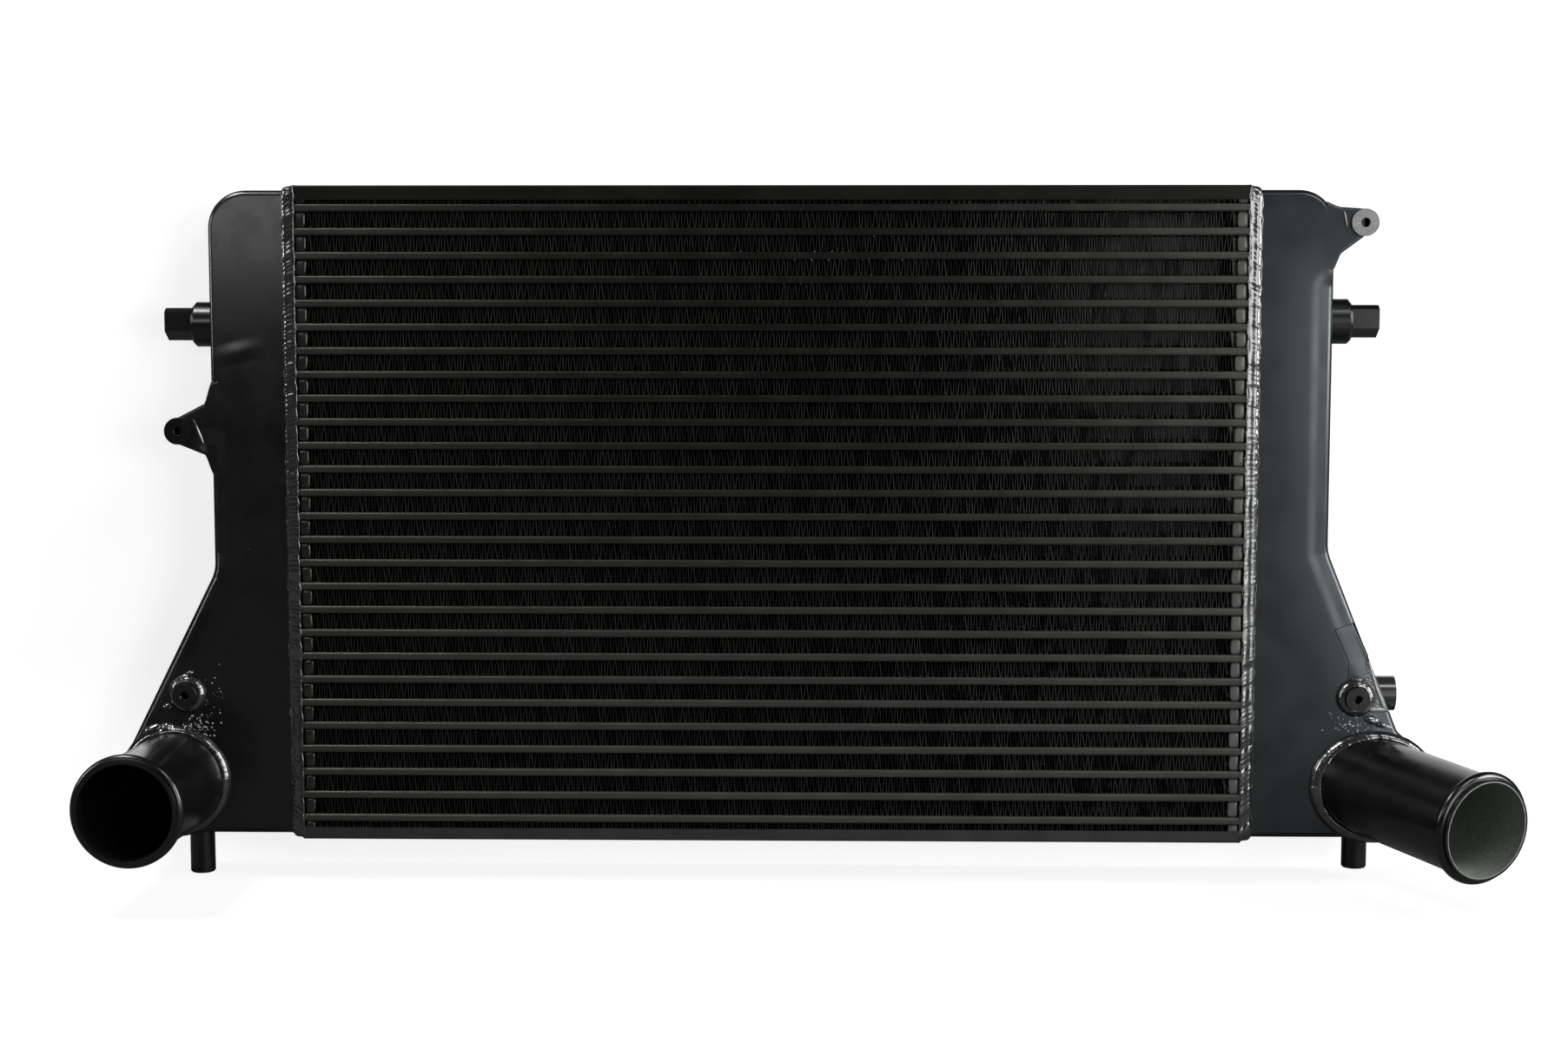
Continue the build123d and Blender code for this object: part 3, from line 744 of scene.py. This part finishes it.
def bead(
    head, foot, crown, pitch, seed,
    lumps=0.35, flip=1.0, taper=False, section=11, step=0.0, slant=0.0, ripple=0.3,
):
    """Weld bead between two edge lines, given as equal arrays of points.

    Across it an angle runs from edge to edge over the crown: the point is the middle line plus
    half the span times the cosine plus the crown times the sine to the power 0.8. Along it the
    height saws once per pitch by the ripple, each scallop bowed back at the edges and slanted,
    over a slow random swell sized by the lumps. The underside is sunk by the crown. A
    step, in metres, is how far the foot lies below the head, taken by a smooth slope.
    """
    middle, across = (head + foot) / 2, (foot - head) / 2
    ahead = np.roll(middle, -1, axis=0) - np.roll(middle, 1, axis=0)
    if taper:
        ahead[0], ahead[-1] = middle[1] - middle[0], middle[-1] - middle[-2]
    outward = flip * np.cross(ahead, across)
    outward /= np.linalg.norm(outward, axis=1, keepdims=True)
    along = lengths(middle)
    swell = 1 + lumps * wander(along, 0.045, seed) + 0.5 * lumps * wander(along, 0.012, seed + 7)
    width = 1 + 0.12 * wander(along, 0.03, seed + 3) + 0.03 * wander(along, 0.006, seed + 4)
    if taper:
        fade = np.sqrt(np.clip(np.minimum(along, along[-1] - along) / (2.5 * pitch), 0, 1))
        swell, width = swell * fade, width * np.maximum(fade, 0.02)
    angle = np.linspace(0, np.pi, section)
    phase = along[:, None] / pitch + 0.35 * np.cos(angle)[None] ** 2 + slant * np.cos(angle)[None]
    phase = phase + 0.25 * wander(along, 0.02, seed + 9)[:, None]
    saw = phase % 1.0
    scallop = 1 + ripple * (0.5 - saw**0.6)
    lift = crown * np.sin(angle)[None] ** 0.8 * scallop * swell[:, None]
    share = (1 - np.cos(angle)) / 2
    drop = np.clip((share - 0.15) / 0.75 + 0.06 * wander(along, 0.03, seed + 5, 2)[:, None], 0, 1)
    lift = lift + step * (share - drop**2 * (3 - 2 * drop))
    spots = np.concatenate([np.cos(angle), UNDERSIDE])
    rise = np.concatenate([lift, np.full((len(lift), len(UNDERSIDE)), -crown)], axis=1)
    skin = middle[:, None] + across[:, None] * (spots[None, :, None] * width[:, None, None])
    return skin + outward[:, None] * rise[:, :, None]


def add_bead(name, head, foot, crown, pitch, seed, material, replaced=(), **shape):
    """One bead as a piece, closed on itself or, with taper, run out to nothing at both ends."""
    points = bead(head, foot, crown, pitch, seed, **shape)
    rows, columns = points.shape[:2]
    open_ended = shape.get("taper", False)
    if open_ended:
        points[0] = points[0].mean(axis=0)
        points[-1] = points[-1].mean(axis=0)
    faces = quads(rows, columns, wrap_rows=not open_ended, wrap_columns=True)
    add_piece(name, points, faces, material, replaced)


def frame_loop(half_depth, low, high, x, rounding, count):
    """Loop round the core in an upright plane at x: a rectangle with rounded corners.

    The corner is a quarter circle; the points are evenly spaced by their arc length.
    """
    angle = np.linspace(0, np.pi / 2, 8)
    centre_y, centre_z = half_depth - rounding, (high - low) / 2 - rounding
    arc = np.stack([np.cos(angle), np.sin(angle)], axis=1) * rounding
    pieces = []
    for sign_y, sign_z, order in ((-1, 1, -1), (1, 1, 1), (1, -1, -1), (-1, -1, 1)):
        turn = (arc + [centre_y, centre_z]) * [sign_y, sign_z]
        pieces.append(turn if order < 0 else turn[::-1])
    y, z = evenly(np.concatenate([*pieces, pieces[0][:1]]), count, endpoint=False).T
    return np.stack([np.full(count, x), y, z + (high + low) / 2], axis=1)


CORE_WELD_STEPS = 2400
CORE_WELD_CROWN = 0.9 * MM
CORE_WELD_PITCH = 2.8 * MM
CORE_WELD_SHAPE = {"step": 2.6 * MM, "section": 15, "lumps": 0.28, "slant": 0.5}
CORE_WELD_RIPPLE = {"left": 0.26, "right": 0.08}
EDGE_CROWN = 0.45 * MM
EDGE_WAVER = 0.25 * MM


def add_core_weld(side, material):
    """Bead all round the joint between the core's end and a tank, with a thin one at each edge.

    The thin ones waver by a sum of three sines of the way around.
    """
    sign = SIDES[side]
    low, high = corners(f"core_weld_{side}")
    near, far = (high[0], low[0]) if sign < 0 else (low[0], high[0])
    count = CORE_WELD_STEPS
    head = frame_loop(high[1], core_bottom, core_top, near, 2.5 * MM, count)
    foot = frame_loop(-tank_face + 0.3 * MM, tank_foot, tank_top, far, 4.0 * MM, count)
    name = f"core_weld_{side}"
    shape = {"flip": -sign, "ripple": CORE_WELD_RIPPLE[side], **CORE_WELD_SHAPE}
    sizes = (CORE_WELD_CROWN, CORE_WELD_PITCH)
    add_bead(name + "_bead", head, foot, *sizes, 11 + sign, material, [name], **shape)
    around = np.arange(count) / count * 2 * np.pi
    waver = EDGE_WAVER * (np.sin(67 * around) + np.sin(101 * around + 2) + np.sin(23 * around))
    for part, ring, width, pitch, seed in (("toe", foot, 0.9, 5.0, 61), ("lip", head, 0.7, 1.9, 71)):
        inward = (head - foot) / np.linalg.norm(head - foot, axis=1, keepdims=True)
        inward = inward if part == "toe" else -inward
        start = ring - inward * (0.3 * MM - waver[:, None])
        end = start + inward * width * MM
        pair = (end, start) if part == "toe" else (start, end)
        shape = {"lumps": 0.3, "flip": -sign, "section": 5}
        add_bead(f"{name}_{part}", *pair, EDGE_CROWN, pitch * MM, seed + sign, material, **shape)


def add_sheet(name, front, back, material):
    """Closed sheet from a grid of its front's points, its back flat at one depth."""
    rear = front.copy()
    rear[..., 1] = back
    sheet = np.concatenate([front, rear[:, ::-1]], axis=1)
    sheet = np.concatenate([sheet[:1], sheet, sheet[-1:]])
    for end in (0, -1):
        sheet[end] = sheet[end].mean(axis=0)
    add_piece(name, sheet, quads(*sheet.shape[:2], wrap_columns=True), material)


EAR_SKIN = {
    "left": {"across": [-5, 0, 4, 21], "high": [33, 31, 17.4, 8.4], "low": [-29, -27, -15.4, -8.4]},
    "right": {"across": [-5, 0, 4, 18.5], "high": [13, 10.6, 9.4, 8.4], "low": [-31, -29, -19.4, -8.4]},
}
EAR_SKIN_DEPTH = 8.0 * MM
EAR_EDGE = 1.5 * MM
EAR_EDGE_DROP = 0.8 * MM
EAR_SKIN_PROUD = 0.03 * MM


def add_ear_skin(side, material):
    """Skin that carries a tank's front face smoothly over into its ear plate.

    It lies flush with the tank's face as far as the boss, a hair in front of it. Its upper and
    lower edges are rounded and follow the joint's outline, given in mm from the boss's centre.
    """
    sign, shape = SIDES[side], EAR_SKIN[side]
    boss_low, boss_high = corners(f"ear_boss_{side}")
    level = (boss_low[2] + boss_high[2]) / 2
    across = np.linspace(shape["across"][0], shape["across"][-1], 23)
    across = np.insert(across, 1, across[0] + 0.02)
    high = np.interp(across, shape["across"], shape["high"])
    low = np.interp(across, shape["across"], shape["low"])
    share = (1 - np.cos(np.linspace(0, np.pi, 31))) / 2
    z = level + MM * (low[:, None] + (high - low)[:, None] * share[None])
    x = np.broadcast_to((tank_sides[side] + sign * MM * across)[:, None], z.shape)
    rim = np.minimum(share, 1 - share) * (high - low)[:, None] * MM
    y = tank_face - EAR_SKIN_PROUD + EAR_EDGE_DROP * np.clip(1 - rim / EAR_EDGE, 0, 1) ** 2
    add_sheet(f"ear_skin_{side}", np.stack([x, y, z], axis=-1), tank_face + EAR_SKIN_DEPTH, material)


def circle(centre, radius, count, stretch=(1, 1, 1)):
    """Points on an upright circle, from its left side down, scaled along the frame's axes."""
    angle = whole_turn(count)
    ring = -np.stack([np.cos(angle), np.zeros(count), np.sin(angle)], axis=1)
    return np.array(centre) + radius * ring * np.array(stretch)


PIPE_WALL = 2.0 * MM
FILLET_LEG = 4.0 * MM
FILLET_STEPS = {"pipe": 700, "boss": 260}
LIP_OVERLAP = 0.2 * MM
BOSS_RADIUS = 7.5 * MM


def add_pipe_weld(side, material):
    """Fillet bead round a pipe's foot, from the pipe down to the tank's face."""
    place, heading = mount_line(f"pipe_bore_{side}")
    root = place + heading * (tank_face - place[1]) / heading[1]
    radius = mounts[f"pipe_bore_{side}"]["dims"]["r_mm"] * MM + PIPE_WALL
    stretch = (1 / abs(heading[1]), 1, 1)
    foot = circle(root, radius + FILLET_LEG, FILLET_STEPS["pipe"], stretch)
    climb = heading * FILLET_LEG * stretch[0]
    head = circle(root + climb, radius - LIP_OVERLAP, FILLET_STEPS["pipe"], stretch)
    name = f"pipe_weld_{side}"
    add_bead(name + "_bead", head, foot, 1.0 * MM, 3.8 * MM, 21 + SIDES[side], material, [name])


def add_boss_weld(side, material):
    """Fillet bead round a lower boss."""
    place = mount_line(f"lower_thread_{side}")[0]
    centre = np.array([place[0], tank_face, place[2]])
    foot = circle(centre, BOSS_RADIUS + 4.2 * MM, FILLET_STEPS["boss"])
    head = circle(centre - [0, FILLET_LEG, 0], BOSS_RADIUS - LIP_OVERLAP, FILLET_STEPS["boss"])
    name = f"boss_weld_{side}"
    add_bead(name + "_bead", head, foot, 1.1 * MM, 3.4 * MM, 31 + SIDES[side], material, [name], lumps=0.5)


BALL = (6, 8)
BLOB = (15, 20)
SQUASH = 0.75


def ball_angles(size, rim):
    """Angle from the pole, short of it by the rim, and angle about it, for a ball of a size."""
    tilt = np.linspace(rim, np.pi - rim, size[0])
    turn = whole_turn(size[1])
    return np.meshgrid(tilt, turn, indexing="ij")


def add_spatter(name, centre, spread, count, largest, seed, material):
    """Weld spatter on the tank's front face: small flattened balls, thickest at the middle."""
    rng = np.random.default_rng(seed)
    centres = np.empty((count, 3))
    centres[:, 0] = centre[0] + rng.normal(0, spread[0], count)
    centres[:, 1] = tank_face
    centres[:, 2] = centre[1] + rng.normal(0, spread[1], count)
    radii = largest * rng.power(0.9, count) * 0.8 + 0.18 * MM
    tilt, turn = ball_angles(BALL, 0.08)
    ball = [np.sin(tilt) * np.cos(turn), SQUASH * np.cos(tilt), np.sin(tilt) * np.sin(turn)]
    ball = np.stack(ball, axis=-1).reshape(-1, 3)
    points = centres[:, None] + radii[:, None, None] * ball[None]
    add_piece(name, points, copies(ball, quads(*BALL, wrap_columns=True), count), material)


# blobs and short runs of weld: x, z, half length, half width, height, all in mm, and turn in degrees
WELD_BLOBS = {
    "left": [
        (-384.2, 98.6, 3.2, 1.6, 2.4, 40),
        (-379.6, 101.9, 3.6, 1.8, 2.8, 32),
        (-375.4, 104.6, 2.6, 1.6, 2.4, 12),
        (-390.3, 82.6, 3.4, 2.2, 2.6, 8),
        (-400.6, 67.6, 7.0, 3.0, 3.6, 17),
        (-390.6, 68.4, 4.6, 4.4, 4.2, -12),
        (-377.7, 69.0, 3.0, 2.0, 2.2, 35),
        (-366.7, 259.7, 9.0, 1.1, 1.0, -68),
    ],
    "right": [
        (363.4, 97.6, 1.7, 2.6, 2.2, 20),
        (370.2, 102.6, 3.6, 1.6, 2.2, -6),
        (380.2, 76.6, 5.0, 2.8, 3.2, -14),
        (386.4, 73.6, 4.0, 2.2, 2.8, -8),
        (357.0, 393.3, 6.0, 0.9, 0.9, -78),
    ],
}


def add_blobs(side, material):
    """Lumps of weld on a tank's front face.

    Each is an ellipsoid, r = (a cos t, h sin t sin p, b sin t cos p), turned in the plane of the
    face; its skin swells and dips by low waves of the two angles.
    """
    spots = np.array(WELD_BLOBS[side])
    rng = np.random.default_rng(90 + SIDES[side])
    tilt, turn = ball_angles(BLOB, 0.05)
    shapes = []
    for x, z, half_length, half_width, height, angle in spots:
        shift = rng.uniform(0, 2 * np.pi, 4)
        waves = np.sin(2 * turn + shift[0]) * np.sin(3 * tilt + shift[1])
        waves = waves + 0.6 * np.sin(3 * turn + shift[2]) * np.sin(5 * tilt + shift[3])
        skin = 1 + 0.09 * waves * np.sin(tilt)
        along = half_length * np.cos(tilt) * skin
        across = half_width * np.sin(tilt) * np.cos(turn) * skin
        out = height * np.sin(tilt) * np.sin(turn) * skin
        cos, sin = np.cos(np.radians(angle)), np.sin(np.radians(angle))
        place = [x + along * cos - across * sin, tank_face / MM - out, z + along * sin + across * cos]
        shapes.append(np.stack(place, axis=-1).reshape(-1, 3) * MM)
    faces = copies(shapes[0], quads(*BLOB, wrap_columns=True), len(shapes))
    add_piece(f"weld_blobs_{side}", np.concatenate(shapes), faces, material)


# the cut edge of the right tank's sheet over its folded corner, and the corner's two borders
SHEET_EDGE = [(366.5, 139), (369.7, 132), (373.4, 124), (376, 118.1), (375.8, 110), (375.3, 102.5)]
SHEET_EDGE = np.array(SHEET_EDGE) * MM
CORNER_NEAR = np.array([(376.6, 117), (376, 110), (375.5, 102.5), (374, 94), (374.8, 84)]) * MM
CORNER_FAR = np.array([(377.4, 113.6), (380, 106), (382.8, 98.2), (385.6, 91.5), (389, 84.4)]) * MM
# short runs along the corner's edges and the half width of each, in mm
CORNER_RUNS = [
    ([(374.8, 83.6), (382.0, 83.4), (389.2, 84.0)], 1.0),
    ([(383.5, 74.0), (392.6, 72.0)], 1.3),
    ([(377.4, 114.6), (380.2, 106.0), (383.0, 98.2), (385.8, 91.5), (389.0, 84.8)], 0.42),
]


def add_relief(name, rows, lift, material):
    """Sheet on the tank's face: a grid of x and z with the height of each point over it."""
    front = np.stack([rows[..., 0], tank_face - lift, rows[..., 1]], axis=-1)
    add_sheet(name, front, tank_face + 1.0 * MM, material)


def add_folded_corner(coat, rough, weld, dark):
    """The right tank's corner: the sheet ends in a raised edge, with a rough folded piece beside it,
    and a near-black strip along the edge that is a painted shadow.

    The sheet's height over the face is h (1 - v)^2 across its width, v running in from the cut
    edge; the folded piece's is its seat plus random fine waves, higher along its far border.
    """
    edge = evenly(SHEET_EDGE, 50)
    inward = np.array([-0.93, -0.36])
    away = np.linspace(0, 1, 22)
    rows = edge[:, None] + inward * (12 * MM * away)[None, :, None]
    fade = np.sin(np.linspace(0, np.pi, 50)) ** 0.35
    fade[25:] = np.maximum(fade[25:], 0.9)
    add_relief("sheet_edge_right", rows, 1.3 * MM * fade[:, None] * (1 - away[None]) ** 2, coat)

    # a flat near-black strip beside the cut edge: a painted shadow of the step
    shadow_strip = edge[:, None] + np.array([0.93, 0.0]) * (1.2 * MM * np.linspace(-0.1, 1, 4))[None, :, None]
    add_relief("corner_painted_shadow_right", shadow_strip, np.full(shadow_strip.shape[:2], 0.15 * MM), dark)

    near, far = evenly(CORNER_NEAR, 70), evenly(CORNER_FAR, 70)
    across = np.linspace(0, 1, 34)
    rows = near[:, None] + (far - near)[:, None] * across[None, :, None]
    rng = np.random.default_rng(77)
    grain = np.zeros(rows.shape[:2])
    for wave in rng.uniform(2.2, 6.0, 14):
        turn, shift = rng.uniform(0, 2 * np.pi, 2)
        flat = rows[..., 0] * np.cos(turn) + rows[..., 1] * np.sin(turn)
        grain += np.sin(flat * wave / MM + shift) / 14
    border = np.exp(-(((across - 0.93) / 0.07) ** 2))
    add_relief("folded_corner_right", rows, 0.35 * MM + 0.5 * MM * grain + 0.6 * MM * border[None], rough)

    # the ledges take the pale coat given as weld: a painted highlight
    for number, (line, half) in enumerate(CORNER_RUNS, 1):
        middle = evenly(np.array(line) * MM, 60)
        ahead = np.gradient(middle, axis=0)
        across = np.stack([ahead[:, 1], -ahead[:, 0]], axis=1)
        across /= np.linalg.norm(across, axis=1, keepdims=True)
        sides = []
        for way in (1, -1):
            flat = middle + way * half * MM * across
            sides.append(np.stack([flat[:, 0], np.full(60, tank_face), flat[:, 1]], axis=1))
        shape = {"taper": True, "flip": -1, "lumps": 0.3}
        add_bead(f"corner_ledge_{number}", *sides, 1.3 * half * MM, 2.2 * MM, 120 + number, weld, **shape)


THREAD_PITCH = 1.0 * MM
THREAD_DEPTH = 0.5 * MM
THREAD_STEPS = (57, 28)


def add_thread(name, material):
    """Internal thread: a sleeve whose inner radius saws in and out once per pitch along its axis."""
    place, axis = mount_line(name)
    dims = mounts[name]["dims"]
    radius, length = dims["r_mm"] * MM, dims["length_mm"] * MM
    turn = whole_turn(THREAD_STEPS[1])
    along = np.linspace(-length / 2, length / 2 - 0.6 * MM, THREAD_STEPS[0])
    along, turn = np.meshgrid(along, turn, indexing="ij")
    saw = np.abs((along / THREAD_PITCH - turn / (2 * np.pi)) % 1.0 - 0.5) * 2
    inner = radius - THREAD_DEPTH * saw
    outer = np.full_like(inner, radius + 0.05 * MM)
    rings = np.concatenate([inner, outer[::-1]])
    along = np.concatenate([along, along[::-1]])
    turn = np.concatenate([turn, turn])
    points = [place[0] + rings * np.cos(turn), place[1] + along * axis[1], place[2] + rings * np.sin(turn)]
    points = np.stack(points, axis=-1)
    faces = quads(*rings.shape, wrap_rows=True, wrap_columns=True)
    add_piece(name, points, faces, material)


# ---- dressing


def set_tint(material, colour):
    """Colour of a coat's mirror-like sheen."""
    material.node_tree.nodes["Principled BSDF"].inputs["Specular Tint"].default_value = colour


def dress(material, *names):
    """Give CAD nodes a material."""
    for name in names:
        piece = nodes[name]
        for spot in piece.material_slots:
            spot.material = material
        if not piece.material_slots:
            piece.data.materials.append(material)


add_camera()
add_world()
add_stage()
add_softbox("right_fill", (1.4, -1.9, 0.2), (0.3, 0, 0.2), 1.0, 1.6, 28)
add_softbox("right_side", (2.1, -0.55, 0.8), (0.3, 0, 0.2), 0.8, 1.2, 50)
add_softbox("right_top", (1.1, -1.0, 1.7), (0.3, 0, 0.3), 0.8, 0.6, 12)
add_softbox("top_light", (-0.95, -0.3, 1.8), (-0.2, 0, 0.2), 0.6, 0.35, 24)
add_softbox("front_top", (-1.0, -1.9, 1.0), (-0.3, 0, 0.35), 0.9, 0.3, 4)
add_softbox("back_light", (0.0, 1.9, 0.78), (0, 0, 0.3), 3.2, 1.5, 16)
add_softbox("floor_bounce", (0.72, -0.45, 0.0), (0.42, -0.05, 0.05), 0.5, 0.2, 0.7)
add_softbox("left_strip", (-2.0, -0.5, 0.85), (-0.3, 0, 0.4), 0.14, 0.8, 13, diffuse=0.0)

TANK_ROUGHNESS = {"left": 0.27, "right": 0.33}
COOL_SHEEN, WARM_SHEEN = (0.9, 1.0, 1.06, 1), (0.97, 1.0, 0.85, 1)
tank_coats = {
    side: powder_coat(f"tank_coat_{side}", 0.003, TANK_ROUGHNESS[side], nibs=0.1, folded=side)
    for side in SIDES
}
# a cooler sheen on the right tank alone: painted light, the colour of the light on that side
set_tint(tank_coats["right"], COOL_SHEEN)
pipe_coats = {side: pipe_finish(side) for side in SIDES}
peg_coat = powder_coat("peg_coat", 0.004, 0.24, nibs=0.02, swell=0.1)
# painted light on the bars: colour scaled up towards the core's ends and its lower middle, down in its upper
# middle
bar_painted_light = (1.9, 0.3, 3.4, 3.4)
bar_coat = powder_coat("bar_coat", 0.009, 0.3, peel=0.0008, depth=0.5, nibs=0.03, swell=0.2, ends=bar_painted_light)
plate_coat = powder_coat("plate_coat", 0.002, 0.42, nibs=0.05, gleam=0.2)
# the bottom plate is painted paler than the top plate: painted light from below
low_plate_coat = powder_coat("low_plate_coat", 0.013, 0.5, nibs=0.05)
fin_coat = fin_finish()
# painted light on the closing bars' ends: a paler base for their front faces catching light, much paler at
# the right end and darker at the left
end_painted_light = (0.35, 0.5, 3.4, 0.5)
end_coat = powder_coat("end_coat", 0.03, 0.26, peel=0.0007, depth=0.9, nibs=0.02, ends=end_painted_light)
weld_look = {"gleam": 1.0, "varnish": 1.0}
weld_coat = powder_coat("weld_coat", 0.012, 0.2, peel=0.0009, depth=0.4, swell=0.3, nibs=0.05, **weld_look)
# the folded corner's rough piece is paler than the tank: partly its own rougher surface, partly painted
# light
patch_look = {"relief": 2 * COAT_RELIEF, "varnish": 0.5}
patch_coat = powder_coat("patch_coat", 0.11, 0.22, peel=0.0009, depth=2.0, nibs=0.3, **patch_look)
# pale as a painted highlight: the glints of the spatter and of the corner's ledges
glint_spatter_coat = powder_coat("glint_spatter_coat", 0.26, 0.22, gleam=1.0)
# near black and matt, for the strip at the right tank's corner: a painted shadow
painted_shadow_coat = powder_coat("painted_shadow_coat", 0.0005, 0.7, gleam=0.0)
# paler than the pegs and bosses as a painted highlight for its bright band, and glossier with varnish
sensor_coat = powder_coat("sensor_coat", 0.02, 0.22, nibs=0.02, swell=0.1, varnish=0.6)
mill_metal = powder_coat("mill_metal", 0.5, 0.4)

for coat in (bar_coat, fin_coat, end_coat, plate_coat):
    set_tint(coat, WARM_SHEEN)

dress(bar_coat, *tubes)
dress(plate_coat, "top_side_plate")
dress(low_plate_coat, "bottom_side_plate")
dress(mill_metal, "turbulators")
dress(patch_coat, "corner_patch")
for side in SIDES:
    dress(tank_coats[side], f"tank_{side}", f"ear_plate_{side}")
    dress(pipe_coats[side], f"pipe_{side}")
    dress(peg_coat, f"side_peg_{side}", f"lower_pin_{side}", f"ear_boss_{side}", f"lower_boss_{side}")
dress(sensor_coat, "sensor_boss")
dress(bare_face_finish(), "ear_boss_right")

add_fins(fin_coat)
for side in SIDES:
    add_bar_ends(side, end_coat)
    add_core_weld(side, weld_coat)
    add_pipe_weld(side, weld_coat)
    add_boss_weld(side, weld_coat)
    add_ear_skin(side, tank_coats[side])
    add_thread(f"ear_thread_{side}", peg_coat)
    add_thread(f"lower_thread_{side}", peg_coat)
    add_blobs(side, weld_coat)
add_folded_corner(tank_coats["right"], patch_coat, glint_spatter_coat, painted_shadow_coat)
# spatter in the pale coat: painted highlight
add_spatter("spatter_left_foot", (-0.3695, 0.069), (0.0055, 0.0042), 80, 0.75 * MM, 5, glint_spatter_coat)
add_spatter("spatter_left_boss", (-0.362, 0.088), (0.004, 0.011), 22, 0.4 * MM, 6, glint_spatter_coat)
add_spatter("spatter_right_foot", (0.3705, 0.0745), (0.0085, 0.0052), 75, 0.6 * MM, 7, glint_spatter_coat)

scene.view_settings.view_transform = "Standard"
